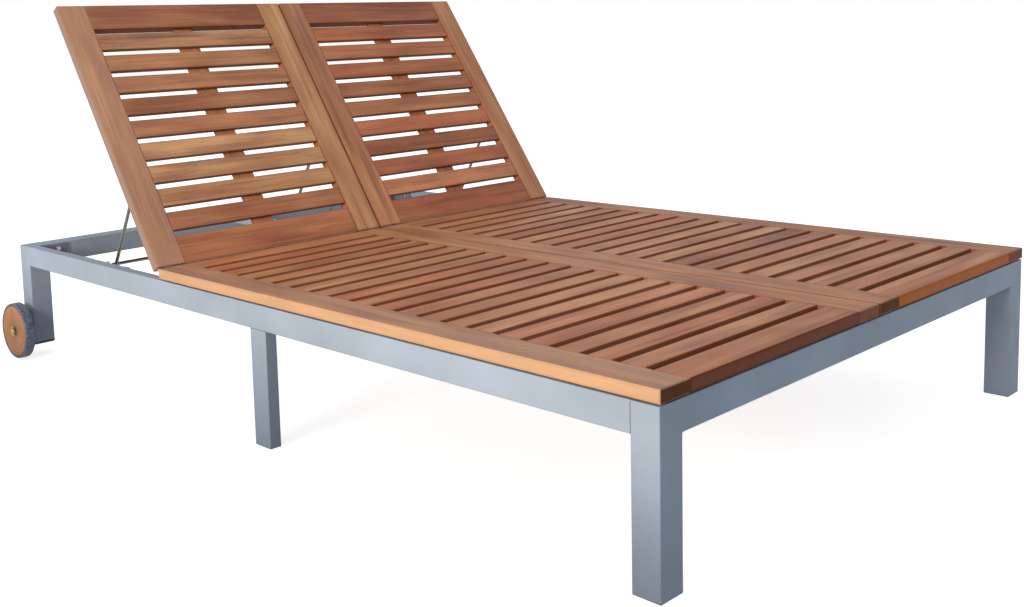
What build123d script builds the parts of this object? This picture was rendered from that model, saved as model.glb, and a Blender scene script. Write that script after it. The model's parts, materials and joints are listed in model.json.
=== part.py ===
from build123d import *
import math
import os

# Double chaise lounger: tube frame, two slatted seats and two hinged slatted backrests,
# each propped by a rod bail in toothed racks, with two wheels at the head end.
# X is across the lounger, Y runs from the foot end to the head end, Z is up, in millimetres.
# The origin is on the floor in the middle of the part's bounding box.

# Tube frame
frame_length = 1980.0
frame_width = 1300.0
frame_top = 286.0
rail_depth = 50.0
leg_width = 55.0
leg_length = 50.0
side_rail_width = 28.0
tube_wall = 2.0
tube_edge_radius = 2.0
mid_leg_width = 27.0
mid_leg_length = 50.0
mid_leg_setback = 53.0
inner_tube_side = 25.0
seat_cross_rail_setback = 40.0
foot_cap_thickness = 1.0
head_leg_lift = 29.0
head_cap_thickness = 6.0
cap_plug_height = 14.0
cap_plug_clearance = 0.1

# Corner plates and their bolts
plate_thickness = 4.0
plate_leg = 76.0
plate_height = 44.0
plate_bolt_positions = (20.0, 52.0)
plate_bolt_height = 36.0
bolt_radius = 4.0
bolt_head_radius = 6.5
bolt_head_height = 3.5
bolt_length = 12.0
bolt_clearance = 0.05
head_rounding_share = 0.6

# Boards of the seats and backrests
board_thickness = 22.0
board_edge_radius = 1.6
shadow_gap = 3.0
centre_seam = 3.0
stile_width = 73.0
slat_thickness = 11.0
slat_width = 45.8
slat_gap = 15.0
top_gap = 14.0
back_slat_count = 9
foot_board_width = 61.8
head_board_least_width = 50.0
bottom_board_width = 66.7
top_board_width = 69.0
batten_width = 55.0
tongue_length = 8.0
tongue_thickness = 5.0
tongue_clearance = 0.1
seat_overhang = 1.0

# Pads and screws that hold the seat panels above the frame
pad_length = 40.0
pad_width = 16.0
pads_per_rail = 5
pad_inset = 70.0
screw_radius = 2.5
screw_head_radius = 5.0
screw_head_height = 3.0
screw_depth = 15.0
screw_clearance = 0.05
screws_per_rail = 3
screw_inset = 160.0
centre_screw_offset = 6.5

# Backrest hinges
hinge_setback = 679.0
back_angle = 56.0
back_rise = 7.0
hinge_gap = 4.5
hinge_drop = 4.5
knuckle_radius = 4.0
pin_radius = 2.0
pin_clearance = 0.05
hinge_length = 55.0
hinge_edge_inset = 3.0
knuckle_length = 17.0
knuckle_clearance = 0.25
leaf_thickness = 1.5
leaf_bottom_margin = 3.0
leaf_side_clearance = 0.1

# Prop bails and their racks
rod_radius = 4.0
fold_room = 93.0
prop_drop = 4.3
prop_flat_slope = 0.3
bar_setback = 112.5
bar_drop = 4.0
near_arm_inset = 16.0
far_arm_inset = 88.5
near_strap_inset = 36.0
far_strap_inset = 32.5
prop_bend_radius = 10.0
bar_end_gap = 5.0
strap_width = 10.0
pin_overhang = 2.0
strap_thickness = 2.0
strap_wing = 11.0
strap_screw_radius = 2.0
strap_screw_head_radius = 3.2
strap_screw_head_height = 1.8
strap_screw_length = 10.0
rack_web_thickness = 2.5
rack_ledge_width = 16.0
rack_clearance = 0.3
rack_depth = 24.0
rack_top_drop = 0.5
ear_length = 12.0
rack_end_margin = 14.0
ear_clearance = 0.5
rack_stop_angles = (63.0, 56.0, 45.0, 34.0, 22.0, 0.0)
notch_clearance = 1.0
path_step = 3.5

# Wheels
wheel_radius = 71.0
wheel_width = 26.0
wheel_outer_offset = 46.0
axle_setback = 30.0
tyre_depth = 5.0
disc_recess = 0.5
disc_edge_radius = 1.5
tyre_edge_radius = 2.5
tyre_fit_clearance = 0.05
axle_radius = 5.0
axle_clearance = 0.05
axle_flange_radius = 13.0
axle_flange_height = 2.0
axle_head_radius = 9.5
axle_head_height = 4.0
axle_end_play = 0.3
spacer_radius = 9.0
nut_height = 8.0
nut_across_flats = 17.0
axle_end_length = 3.0

# Places worked out from the sizes above
half_width = frame_width / 2
wheel_behind = wheel_radius - axle_setback
foot_face = -(seat_overhang + frame_length + wheel_behind) / 2 + seat_overhang
head_face = foot_face + frame_length
inner_foot = foot_face + leg_length
inner_head = head_face - leg_length
leg_inner = half_width - leg_width
mid_leg_y = (foot_face + head_face) / 2 - mid_leg_setback
rail_bottom = frame_top - rail_depth
side_rail_inner = half_width - side_rail_width
centre_rail_half = inner_tube_side / 2
seat_bottom = frame_top + shadow_gap
seat_top = seat_bottom + board_thickness
seat_start = foot_face - seat_overhang
hinge_y = head_face - hinge_setback
seat_end = hinge_y - hinge_gap
slat_pitch = slat_width + slat_gap
seat_field_most = seat_end - seat_start - foot_board_width - head_board_least_width
seat_slat_count = int((seat_field_most - slat_gap) / slat_pitch)
seat_slats_length = seat_slat_count * slat_pitch + slat_gap
head_board_width = seat_end - seat_start - foot_board_width - seat_slats_length
back_slats_length = back_slat_count * slat_pitch + top_gap
hinge_z = seat_top - hinge_drop
back_start = hinge_y + hinge_gap
back_end = back_start + bottom_board_width + back_slats_length + top_board_width
stile_inner = half_width - stile_width
seam_edge = centre_seam / 2
half_centre = (stile_inner + seam_edge + stile_width) / 2
prop_reach = (hinge_setback - leg_length - plate_leg - fold_room) / 2
prop_depth = board_thickness - hinge_drop + prop_drop
bar_z = frame_top - bar_drop
rack_bottom = frame_top - rack_depth
bay_width = side_rail_inner - centre_rail_half
axle_y = head_face - axle_setback
tongue_middle = seat_top - slat_thickness / 2
hinge_axis = Axis((0, hinge_y, hinge_z), (1, 0, 0))
left, right = -1, 1


def block(x_range, y_range, z_range):
    """A plain box between three pairs of limits."""
    size = [abs(pair[1] - pair[0]) for pair in (x_range, y_range, z_range)]
    middle = [(pair[1] + pair[0]) / 2 for pair in (x_range, y_range, z_range)]
    return Pos(*middle) * Box(*size)


def across(side, near, far):
    """Limits in X of something between two distances from the middle, on one side."""
    return (side * near, side * far)


def tube(x_range, y_range, z_range, axis, end_wall=0.0):
    """A rectangular tube along an axis; the end at its higher limit may have a wall."""
    outer = block(x_range, y_range, z_range)
    outer = fillet(outer.edges().filter_by(axis), tube_edge_radius)
    ranges = [sorted(pair) for pair in (x_range, y_range, z_range)]
    hollow = [(low + tube_wall, high - tube_wall) for low, high in ranges]
    along = (Axis.X, Axis.Y, Axis.Z).index(axis)
    low, high = ranges[along]
    hollow[along] = (low, high - end_wall)
    return outer - block(*hollow)


def rod(centre, axis_direction, radius, length):
    """A cylinder that starts at a point and runs along a direction."""
    return Plane(origin=centre, z_dir=axis_direction) * Cylinder(
        radius, length, align=(Align.CENTER, Align.CENTER, Align.MIN))


def group(solids):
    """Separate solids kept in one node."""
    return Compound(children=[solid for solid in solids])


def spread(first, last, count):
    """Evenly spaced positions from the first to the last."""
    return [first + (last - first) * index / (count - 1) for index in range(count)]


# Bolts of the corner plates: a place on a rail's inner face and the direction into the rail
def corner_bolt_places():
    places = []
    bolt_z = rail_bottom + plate_bolt_height
    for side in (left, right):
        for face, inward in ((inner_foot, 1), (inner_head, -1)):
            for distance in plate_bolt_positions:
                end_x = side * (side_rail_inner - distance)
                places.append(((end_x, face + inward * plate_thickness, bolt_z), (0, -inward, 0)))
                side_x = side * (side_rail_inner - plate_thickness)
                places.append(((side_x, face + inward * distance, bolt_z), (side, 0, 0)))
    return places


def bolt_holes():
    radius = bolt_radius + bolt_clearance
    return [rod(place, direction, radius, bolt_length + plate_thickness)
            for place, direction in corner_bolt_places()]


def drilled(shape, cutters):
    """A shape with every hole of a list cut from it."""
    for cutter in cutters:
        shape = shape - cutter
    return shape


def end_rail(face, inner):
    rail = tube((-leg_inner, leg_inner), (face, inner), (rail_bottom, frame_top), Axis.X)
    return drilled(rail, bolt_holes())


def side_rail(side):
    rail = tube(across(side, side_rail_inner, half_width), (inner_foot, inner_head),
                (rail_bottom, frame_top), Axis.Y)
    return drilled(rail, bolt_holes() + screw_holes())


def centre_rail():
    rail = tube((-centre_rail_half, centre_rail_half), (inner_foot, inner_head),
                (frame_top - inner_tube_side, frame_top), Axis.Y)
    return drilled(rail, screw_holes())


def cross_rails():
    rails = []
    for middle in (mid_leg_y, seat_end - seat_cross_rail_setback):
        for side in (left, right):
            rails.append(tube(across(side, centre_rail_half, side_rail_inner),
                              (middle - centre_rail_half, middle + centre_rail_half),
                              (frame_top - inner_tube_side, frame_top), Axis.X))
    return group(rails)


def corner_leg(side, face, inner, bottom):
    """A leg whose edge beside the end rail is filled out square, like a weld ground flush."""
    leg = tube(across(side, leg_inner, half_width), (face, inner),
               (bottom, frame_top), Axis.Z, end_wall=tube_wall)
    inward = math.copysign(tube_edge_radius, inner - face)
    weld = block(across(side, leg_inner, leg_inner + tube_edge_radius),
                 (face, face + inward), (rail_bottom, frame_top))
    return drilled(leg + weld, bolt_holes())


def head_leg(side):
    leg = corner_leg(side, head_face, inner_head, head_leg_lift + head_cap_thickness)
    return leg - axle_hole(side)


def mid_leg(side):
    return tube(across(side, half_width - mid_leg_width, half_width),
                (mid_leg_y - mid_leg_length / 2, mid_leg_y + mid_leg_length / 2),
                (foot_cap_thickness, rail_bottom), Axis.Z)


def leg_cap(x_range, y_range, bottom, thickness):
    cap = block(x_range, y_range, (bottom, bottom + thickness))
    cap = fillet(cap.edges().filter_by(Axis.Z), tube_edge_radius)
    inset = tube_wall + cap_plug_clearance
    low_x, high_x = sorted(x_range)
    low_y, high_y = sorted(y_range)
    plug = block((low_x + inset, high_x - inset), (low_y + inset, high_y - inset),
                 (bottom, bottom + thickness + cap_plug_height))
    return cap + plug


def leg_caps():
    caps = []
    for side in (left, right):
        corner = across(side, leg_inner, half_width)
        caps.append(leg_cap(corner, (foot_face, inner_foot), 0.0, foot_cap_thickness))
        caps.append(leg_cap(across(side, half_width - mid_leg_width, half_width),
                            (mid_leg_y - mid_leg_length / 2, mid_leg_y + mid_leg_length / 2),
                            0.0, foot_cap_thickness))
        caps.append(leg_cap(corner, (inner_head, head_face), head_leg_lift, head_cap_thickness))
    return group(caps)


def corner_plates():
    plates = []
    low = (frame_top + rail_bottom - plate_height) / 2
    z_range = (low, low + plate_height)
    for side in (left, right):
        for face, inward in ((inner_foot, 1), (inner_head, -1)):
            end_leg = block(across(side, side_rail_inner, side_rail_inner - plate_leg),
                            (face, face + inward * plate_thickness), z_range)
            side_leg = block(across(side, side_rail_inner, side_rail_inner - plate_thickness),
                             (face, face + inward * plate_leg), z_range)
            plates.append(drilled(end_leg + side_leg, bolt_holes()))
    return group(plates)


def plate_bolts():
    bolts = []
    for place, direction in corner_bolt_places():
        shank = rod(place, direction, bolt_radius, bolt_length)
        back = tuple(-part for part in direction)
        head = rod(place, back, bolt_head_radius, bolt_head_height)
        rim = head.edges().sort_by(Axis(place, back))[-1:]
        head = fillet(rim, bolt_head_height * head_rounding_share)
        bolts.append(shank + head)
    return group(bolts)


# Screws that come up through the rails into the seat stiles
def seat_screw_places():
    places = []
    for y in spread(inner_foot + screw_inset, seat_end - screw_inset, screws_per_rail):
        for side in (left, right):
            places.append((side * (side_rail_inner + side_rail_width / 2), y, rail_bottom))
            places.append((side * centre_screw_offset, y, frame_top - inner_tube_side))
    return places


def screw_holes():
    top = seat_bottom + screw_depth + screw_clearance
    return [rod((x, y, z - screw_clearance), (0, 0, 1), screw_radius + screw_clearance, top - z)
            for x, y, z in seat_screw_places()]


def seat_screws():
    screws = []
    for x, y, z in seat_screw_places():
        shank = rod((x, y, z), (0, 0, 1), screw_radius, seat_bottom + screw_depth - z)
        head = rod((x, y, z), (0, 0, -1), screw_head_radius, screw_head_height)
        screws.append(shank + head)
    return group(screws)


def panel_pads():
    pads = []
    for y in spread(foot_face + pad_inset, seat_end - pad_inset, pads_per_rail):
        for x in (-half_width + side_rail_width / 2, 0.0, half_width - side_rail_width / 2):
            pads.append(block((x - pad_width / 2, x + pad_width / 2),
                              (y - pad_length / 2, y + pad_length / 2), (frame_top, seat_bottom)))
    return group(pads)


def board(x_range, y_range, z_range):
    """A wooden board with softly rounded edges."""
    return fillet(block(x_range, y_range, z_range).edges(), board_edge_radius)


def tongues(y_range):
    """The two end tongues of a slat or end board of the left half, before it is moved."""
    half = tongue_thickness / 2
    z_range = (tongue_middle - half, tongue_middle + half)
    inner_face = seam_edge + stile_width
    margin = board_edge_radius
    low, high = sorted(y_range)
    kept = (low + margin, high - margin)
    return [(near, far, kept, z_range)
            for near, far in ((inner_face - tongue_length, inner_face + margin),
                              (stile_inner - margin, stile_inner + tongue_length))]


def crosspiece(side, y_range, thickness):
    """A slat or end board that runs between two stiles and has a tongue at each end."""
    piece = board(across(side, seam_edge + stile_width, stile_inner), y_range,
                  (seat_top - thickness, seat_top))
    for near, far, kept, z_range in tongues(y_range):
        piece = piece + block(across(side, near, far), kept, z_range)
    return piece


def stile_groove(side, face, y_range):
    """The slot along a stile that takes the tongues; face is 1 for the outer stile."""
    half = tongue_thickness / 2 + tongue_clearance
    start = stile_inner if face == 1 else seam_edge + stile_width
    depth = face * (tongue_length + tongue_clearance)
    return block(across(side, start, start + depth), y_range,
                 (tongue_middle - half, tongue_middle + half))


def hinge_starts(side):
    """The left ends in X of the three hinges of one half."""
    outer = half_width - hinge_edge_inset - hinge_length / 2
    inner = seam_edge + hinge_edge_inset + hinge_length / 2
    return [side * middle - hinge_length / 2 for middle in (outer, half_centre, inner)]


def leaf_pockets(side, face_y, inward):
    """Recesses in a panel's end for the hinge leaves; inward points into the wood."""
    low = seat_bottom + leaf_bottom_margin - leaf_side_clearance
    high = hinge_z + pin_radius + leaf_side_clearance
    return [block((start - leaf_side_clearance, start + hinge_length + leaf_side_clearance),
                  (face_y, face_y + inward * leaf_thickness), (low, high))
            for start in hinge_starts(side)]


def stile(side, face, y_range):
    near, far = (stile_inner, half_width) if face == 1 else (seam_edge, seam_edge + stile_width)
    piece = board(across(side, near, far), y_range, (seat_bottom, seat_top))
    return piece - stile_groove(side, face, y_range)


def seat_stile(side, face):
    piece = stile(side, face, (seat_start, seat_end))
    return drilled(piece, screw_holes() + leaf_pockets(side, seat_end, -1))


def foot_board(side):
    return crosspiece(side, (seat_start, seat_start + foot_board_width), board_thickness)


def head_board(side):
    piece = crosspiece(side, (seat_end - head_board_width, seat_end), board_thickness)
    return drilled(piece, leaf_pockets(side, seat_end, -1))


def slats(side, first_edge, count):
    pieces = []
    for index in range(count):
        low = first_edge + slat_gap + index * slat_pitch
        pieces.append(crosspiece(side, (low, low + slat_width), slat_thickness))
    return pieces


def batten(side, y_range):
    """The flat bar under the slats in the middle of one half."""
    return board(across(side, half_centre - batten_width / 2, half_centre + batten_width / 2),
                 y_range, (seat_bottom, seat_top - slat_thickness))


def seat_slats(side):
    return group(slats(side, seat_start + foot_board_width, seat_slat_count))


def seat_batten(side):
    return batten(side, (seat_start + foot_board_width, seat_end - head_board_width))


def raised(shape):
    """Turns a piece made on the flat backrest up to the rest angle about the hinge axis."""
    return shape.rotate(hinge_axis, back_angle)


def back_stile(side, face):
    piece = stile(side, face, (back_start, back_end))
    return raised(drilled(piece, leaf_pockets(side, back_start, 1) + strap_screw_holes(side)))


def bottom_board(side):
    piece = crosspiece(side, (back_start, back_start + bottom_board_width), board_thickness)
    return raised(drilled(piece, leaf_pockets(side, back_start, 1)))


def top_board(side):
    return raised(crosspiece(side, (back_end - top_board_width, back_end), board_thickness))


def back_slats(side):
    pieces = slats(side, back_start + bottom_board_width, back_slat_count)
    return group([raised(piece) for piece in pieces])


def back_batten(side):
    return raised(batten(side, (back_start + bottom_board_width, back_end - top_board_width)))


def leaf(start, face_y, inward, knuckles):
    """One hinge leaf let into a board's end, with knuckles round the pin."""
    plate = block((start, start + hinge_length), (face_y, face_y + inward * leaf_thickness),
                  (seat_bottom + leaf_bottom_margin, hinge_z + pin_radius))
    for low, high in knuckles:
        barrel = rod((low, hinge_y, hinge_z), (1, 0, 0), knuckle_radius, high - low)
        web = block((low, high), (face_y, hinge_y), (hinge_z - pin_radius, hinge_z + pin_radius))
        plate = plate + barrel + web
    bore = rod((start, hinge_y, hinge_z), (1, 0, 0), pin_radius + pin_clearance, hinge_length)
    return plate - bore


def seat_hinge_leaves():
    leaves = []
    for side in (left, right):
        for start in hinge_starts(side):
            end = start + hinge_length
            leaves.append(leaf(start, seat_end, -1,
                               ((start, start + knuckle_length), (end - knuckle_length, end))))
    return group(leaves)


def back_hinge_leaves(side):
    inset = knuckle_length + knuckle_clearance
    return group([raised(leaf(start, back_start, 1, ((start + inset, start + hinge_length - inset),)))
                  for start in hinge_starts(side)])


def hinge_pins():
    return group([rod((start, hinge_y, hinge_z), (1, 0, 0), pin_radius, hinge_length)
                  for side in (left, right) for start in hinge_starts(side)])


def prop_pivot(angle):
    """Where the bail's pivot is, in Y and Z, with the backrest at an angle above level."""
    turn = math.radians(angle)
    y = hinge_y + prop_reach * math.cos(turn) + prop_depth * math.sin(turn)
    z = hinge_z + prop_reach * math.sin(turn) - prop_depth * math.cos(turn)
    return y, z


def bail_length_and_slope():
    """The bail's length and its slope in degrees, from its pivot down to the bar at rest."""
    drop = prop_pivot(back_angle)[1] - bar_z
    return math.hypot(bar_setback, drop), math.degrees(math.atan2(drop, bar_setback))


def bar_place(angle):
    """Where the bail's foot bar is for a backrest angle; the slope changes in step with it."""
    y, z = prop_pivot(angle)
    length, rest_slope = bail_length_and_slope()
    slope = math.radians(prop_flat_slope + (rest_slope - prop_flat_slope) * angle / back_angle)
    return y + length * math.cos(slope), z - length * math.sin(slope)


def bay_start(side):
    """The left wall of the bay between a side rail and the centre rail."""
    return -side_rail_inner if side == left else centre_rail_half


def prop_arms(side):
    """Two bent rods: each has a pivot pin that points to +X and an arm down to the foot bar."""
    pivot_y, pivot_z = prop_pivot(back_angle)
    bar_y = pivot_y + bar_setback
    arms = []
    for inset, strap_x in zip((near_arm_inset, bay_width - far_arm_inset), strap_places(side)):
        x = bay_start(side) + inset
        pin_end = strap_x + strap_width / 2 + pin_overhang
        path = FilletPolyline((pin_end, pivot_y, pivot_z), (x, pivot_y, pivot_z),
                              (x, bar_y, bar_z), radius=prop_bend_radius)
        arm = sweep(Plane(origin=path @ 0, z_dir=path % 0) * Circle(rod_radius), path)
        arms.append(arm - prop_bar(side))
    return group(arms)


def prop_bar(side):
    start = (bay_start(side) + bar_end_gap, prop_pivot(back_angle)[0] + bar_setback, bar_z)
    return rod(start, (1, 0, 0), rod_radius, bay_width - 2 * bar_end_gap)


def strap_places(side):
    """Middles in X of the two straps that hold one bail's pivot pins."""
    start = bay_start(side)
    return [start + near_strap_inset, start + bay_width - far_strap_inset]


def strap_screw_places(side):
    """Places on the flat backrest's underside for the straps' screws."""
    pivot_y = hinge_y + prop_reach
    distance = rod_radius + strap_thickness + strap_wing / 2
    return [(x, pivot_y + sign * distance, seat_bottom)
            for x in strap_places(side) for sign in (-1, 1)]


def strap_screw_holes(side):
    return [rod((x, y, z - strap_thickness), (0, 0, 1), strap_screw_radius + screw_clearance,
                strap_screw_length + screw_clearance) for x, y, z in strap_screw_places(side)]


def prop_straps(side):
    """Bent straps on the backrest's underside round the pivot pins, each with two screws."""
    solids = []
    pivot_y = hinge_y + prop_reach
    pivot_z = hinge_z - prop_depth
    bore_radius = rod_radius + pin_clearance
    outer_radius = bore_radius + strap_thickness
    reach = rod_radius + strap_thickness + strap_wing
    for x in strap_places(side):
        low, high = x - strap_width / 2, x + strap_width / 2
        wings = block((low, high), (pivot_y - reach, pivot_y + reach),
                      (seat_bottom - strap_thickness, seat_bottom))
        loop = rod((low, pivot_y, pivot_z), (1, 0, 0), outer_radius, strap_width)
        hoop = loop + block((low, high), (pivot_y - outer_radius, pivot_y + outer_radius),
                            (pivot_z, seat_bottom))
        above = block((low, high), (pivot_y - reach, pivot_y + reach),
                      (seat_bottom, seat_top))
        bore = rod((low, pivot_y, pivot_z), (1, 0, 0), bore_radius, strap_width)
        throat = block((low, high), (pivot_y - bore_radius, pivot_y + bore_radius),
                       (pivot_z, seat_bottom))
        strap = wings + hoop - above - bore - throat
        solids.append(drilled(strap, strap_screw_holes(side)))
    for x, y, z in strap_screw_places(side):
        shank = rod((x, y, z - strap_thickness), (0, 0, 1), strap_screw_radius,
                    strap_screw_length)
        head = rod((x, y, z - strap_thickness), (0, 0, -1), strap_screw_head_radius,
                   strap_screw_head_height)
        solids.append(shank + head)
    return group([raised(solid) for solid in solids])


def rack_outline():
    """The ledge's side view: its top keeps a small distance below the foot bar's path."""
    steps = int((back_angle + back_rise) / path_step) + 1
    angles = [back_angle + back_rise - index * path_step for index in range(steps)]
    path = [bar_place(angle) for angle in angles]
    lowest = min(range(len(path)), key=lambda index: path[index][1])
    drop = rod_radius + rack_clearance
    top = [(y, z - drop) for y, z in path[:lowest + 1]]
    first, last = top[0], top[-1]
    start = first[0] - rack_end_margin
    end = max(y for y, z in path) + rack_end_margin
    return [(start, rack_bottom), (start, first[1])] + top + [(end, last[1]), (end, rack_bottom)]


def rack(wall, inward):
    """A toothed strip on a rail: a web with notches and one ear, and a ledge under the bar."""
    outline = rack_outline()
    start, end = outline[0][0], outline[-1][0]
    web_x = (wall, wall + inward * rack_web_thickness)
    web = block(web_x, (start, end), (rack_bottom, frame_top - rack_top_drop))
    radius = rod_radius + notch_clearance
    ear_start = bar_place(back_angle)[0] + radius
    web = web + block(web_x, (ear_start, ear_start + ear_length),
                      (rack_bottom, seat_bottom - ear_clearance))
    for angle in rack_stop_angles:
        y, z = bar_place(angle)
        web = web - rod((min(web_x), y, z), (1, 0, 0), radius, rack_web_thickness)
        web = web - block(web_x, (y - radius, y + radius), (z, seat_top))
    profile = make_face(Polyline([(0, y, z) for y, z in outline], close=True))
    ledge = extrude(profile, rack_ledge_width, dir=(1, 0, 0))
    low = wall if inward == 1 else wall - rack_ledge_width
    return web + Pos(low, 0, 0) * ledge


def side_racks():
    return group([rack(-side_rail_inner, 1), rack(side_rail_inner, -1)])


def centre_racks():
    return group([rack(-centre_rail_half, -1), rack(centre_rail_half, 1)])


def wheel_faces(side):
    """The tyre's inner and outer faces in X."""
    outer = half_width + wheel_outer_offset
    return side * (outer - wheel_width), side * outer


def wheel_disc(side):
    inner, outer = wheel_faces(side)
    length = wheel_width - 2 * disc_recess
    start = (inner + side * disc_recess, axle_y, wheel_radius)
    disc = rod(start, (side, 0, 0), wheel_radius - tyre_depth - tyre_fit_clearance, length)
    disc = fillet(disc.edges().filter_by(GeomType.CIRCLE), disc_edge_radius)
    return disc - rod(start, (side, 0, 0), axle_radius + axle_clearance, length)


def tyre(side):
    inner, outer = wheel_faces(side)
    start = (inner, axle_y, wheel_radius)
    ring = rod(start, (side, 0, 0), wheel_radius, wheel_width)
    ring = fillet(ring.edges().filter_by(GeomType.CIRCLE), tyre_edge_radius)
    return ring - rod(start, (side, 0, 0), wheel_radius - tyre_depth, wheel_width)


def axle_hole(side):
    """The hole through the leg's outer wall; the nut sits behind it in the hollow leg."""
    start = (side * (half_width - tube_wall), axle_y, wheel_radius)
    return rod(start, (side, 0, 0), axle_radius + axle_clearance, tube_wall)


def axle_bolts():
    bolts = []
    for side in (left, right):
        inner, outer = wheel_faces(side)
        head_start = outer - side * (disc_recess - axle_end_play)
        tail = side * (half_width - tube_wall - nut_height - axle_end_length)
        shank = rod((tail, axle_y, wheel_radius), (side, 0, 0), axle_radius,
                    abs(head_start - tail))
        flange = rod((head_start, axle_y, wheel_radius), (side, 0, 0), axle_flange_radius,
                     axle_flange_height)
        head_base = head_start + side * axle_flange_height
        head = rod((head_base, axle_y, wheel_radius), (side, 0, 0), axle_head_radius,
                   axle_head_height)
        rim = head.edges().sort_by(Axis((0, 0, 0), (side, 0, 0)))[-1:]
        bolts.append(shank + flange + fillet(rim, axle_head_height * head_rounding_share))
    return group(bolts)


def wheel_spacers():
    spacers = []
    for side in (left, right):
        inner, outer = wheel_faces(side)
        length = abs(inner) + disc_recess - axle_end_play - half_width
        start = (side * half_width, axle_y, wheel_radius)
        sleeve = rod(start, (side, 0, 0), spacer_radius, length)
        spacers.append(sleeve - rod(start, (side, 0, 0), axle_radius + axle_clearance, length))
    return group(spacers)


def axle_nuts():
    nuts = []
    for side in (left, right):
        start = (side * (half_width - tube_wall), axle_y, wheel_radius)
        flat = Plane(origin=start, x_dir=(0, 1, 0), z_dir=(-side, 0, 0))
        radius = nut_across_flats / 2 / math.cos(math.pi / 6)
        nut = extrude(flat * RegularPolygon(radius, 6), nut_height)
        nuts.append(nut - rod(start, (-side, 0, 0), axle_radius + axle_clearance, nut_height))
    return group(nuts)


def all_nodes():
    nodes = {
        "foot_rail": end_rail(foot_face, inner_foot),
        "head_rail": end_rail(head_face, inner_head),
        "centre_rail": centre_rail(),
        "cross_rails": cross_rails(),
        "leg_caps": leg_caps(),
        "corner_plates": corner_plates(),
        "plate_bolts": plate_bolts(),
        "side_racks": side_racks(),
        "centre_racks": centre_racks(),
        "panel_pads": panel_pads(),
        "seat_screws": seat_screws(),
        "seat_hinge_leaves": seat_hinge_leaves(),
        "hinge_pins": hinge_pins(),
        "axle_bolts": axle_bolts(),
        "wheel_spacers": wheel_spacers(),
        "axle_nuts": axle_nuts(),
    }
    for name, side in (("left", left), ("right", right)):
        nodes[name + "_side_rail"] = side_rail(side)
        nodes[name + "_foot_leg"] = corner_leg(side, foot_face, inner_foot, foot_cap_thickness)
        nodes[name + "_mid_leg"] = mid_leg(side)
        nodes[name + "_head_leg"] = head_leg(side)
        nodes[name + "_seat_outer_stile"] = seat_stile(side, 1)
        nodes[name + "_seat_inner_stile"] = seat_stile(side, -1)
        nodes[name + "_foot_board"] = foot_board(side)
        nodes[name + "_head_board"] = head_board(side)
        nodes[name + "_seat_slats"] = seat_slats(side)
        nodes[name + "_seat_batten"] = seat_batten(side)
        nodes[name + "_back_outer_stile"] = back_stile(side, 1)
        nodes[name + "_back_inner_stile"] = back_stile(side, -1)
        nodes[name + "_top_board"] = top_board(side)
        nodes[name + "_bottom_board"] = bottom_board(side)
        nodes[name + "_back_slats"] = back_slats(side)
        nodes[name + "_back_batten"] = back_batten(side)
        nodes[name + "_back_hinge_leaves"] = back_hinge_leaves(side)
        nodes[name + "_prop_straps"] = prop_straps(side)
        nodes[name + "_prop_arms"] = prop_arms(side)
        nodes[name + "_prop_bar"] = prop_bar(side)
        nodes[name + "_wheel_disc"] = wheel_disc(side)
        nodes[name + "_tyre"] = tyre(side)
    return nodes


os.makedirs("parts", exist_ok=True)
for node_name, shape in all_nodes().items():
    export_step(shape, "parts/" + node_name + ".step")
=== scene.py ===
import json
import math
import random

import bmesh
import bpy
from mathutils import Matrix, Vector


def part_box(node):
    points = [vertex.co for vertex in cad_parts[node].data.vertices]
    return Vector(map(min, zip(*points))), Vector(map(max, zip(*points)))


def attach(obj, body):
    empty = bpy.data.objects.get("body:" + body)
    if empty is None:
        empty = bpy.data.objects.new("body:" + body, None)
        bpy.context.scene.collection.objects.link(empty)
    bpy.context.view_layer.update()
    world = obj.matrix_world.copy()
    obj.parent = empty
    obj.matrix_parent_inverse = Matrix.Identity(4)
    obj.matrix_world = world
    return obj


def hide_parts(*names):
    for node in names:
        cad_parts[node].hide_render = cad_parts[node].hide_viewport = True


bl_info = {
    "name": "Double chaise lounger",
    "version": (1, 0, 0),
    "blender": (4, 5, 0),
    "location": "3D View > Sidebar > Lounger",
    "description": "Dresses the packed lounger in wood, powder coat, rubber and steel",
    "category": "Object",
}

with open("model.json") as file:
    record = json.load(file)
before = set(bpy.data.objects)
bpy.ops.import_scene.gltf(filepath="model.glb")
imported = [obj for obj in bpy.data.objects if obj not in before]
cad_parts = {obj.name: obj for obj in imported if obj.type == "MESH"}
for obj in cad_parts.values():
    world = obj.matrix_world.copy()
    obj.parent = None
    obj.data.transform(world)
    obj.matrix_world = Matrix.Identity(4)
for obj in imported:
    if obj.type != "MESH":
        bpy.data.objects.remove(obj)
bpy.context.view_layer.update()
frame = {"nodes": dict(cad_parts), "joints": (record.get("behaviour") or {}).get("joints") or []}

MM = 0.001
SIDES = (("left", -1), ("right", 1))
HINGE = Vector(next(joint for joint in frame["joints"]
                    if joint["name"] == "left_backrest_hinge")["pos_m"])

# Boards: the axis that the grain runs along, and the material indices of faces, ends and edges
GRAIN_X, GRAIN_Y = 0, 1
FACE, END, EDGE, OTHER_EDGE = range(4)
SEAT_SEED, BACK_SEED = 11, 31
# each board's grain is cut from another place in this many metres of wood
WOOD_REACH = 40
# facets round each arris, and the strip beside it (in arris radii) where its painted shade fades
# out
ARRIS_STEPS = 3
ARRIS_FADE = 2.2

# Wheels: the tyre's lip beside the disc as (along the axle, outward) pairs, and the disc's eased
# rim as (along the axle, inward) pairs
TYRE_LIP = ((1 * MM, 0.0), (0.2 * MM, 1 * MM), (0.0, 2 * MM))
TYRE_GAP = 0.05 * MM
TREAD_ROUND = 4 * MM
DISC_RIM = ((0.0, 4 * MM), (0.6 * MM, 1.2 * MM), (2 * MM, 0.0))
# the band of the disc's rim, beside the tyre, that is painted dark as shade
DISC_SHADE_BAND = 1.8 * MM
AXLE_HOLE = 5.05 * MM
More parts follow.
